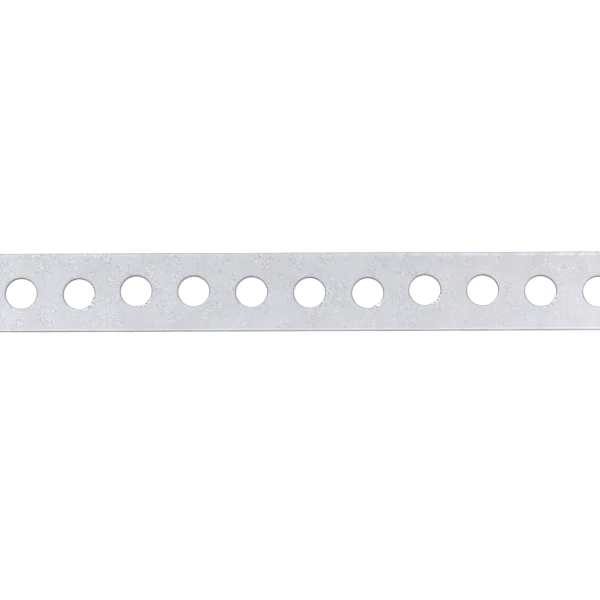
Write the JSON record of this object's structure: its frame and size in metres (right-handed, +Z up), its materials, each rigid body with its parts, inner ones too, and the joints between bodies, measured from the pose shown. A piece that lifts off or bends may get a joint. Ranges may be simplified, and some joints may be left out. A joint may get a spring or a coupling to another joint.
{
  "type": "perforated metal strap",
  "caption": "Flat zinc-coated steel strap with a single row of round punched bolt holes down its middle, cut square at both ends.",
  "frame": {"origin": "middle of the strap's lower face, where it rests", "axes": "+X along the strap, +Y across it, +Z up out of the punched face"},
  "size_m": [0.27, 0.025, 0.0015],
  "materials": {
    "zinc_coated_steel": "matt pale grey zinc coating with faint bluish and lilac mottling, sheared edges a little darker"
  },
  "bodies": {
    "root": {"strap": "zinc_coated_steel"}
  },
  "joints": []
}
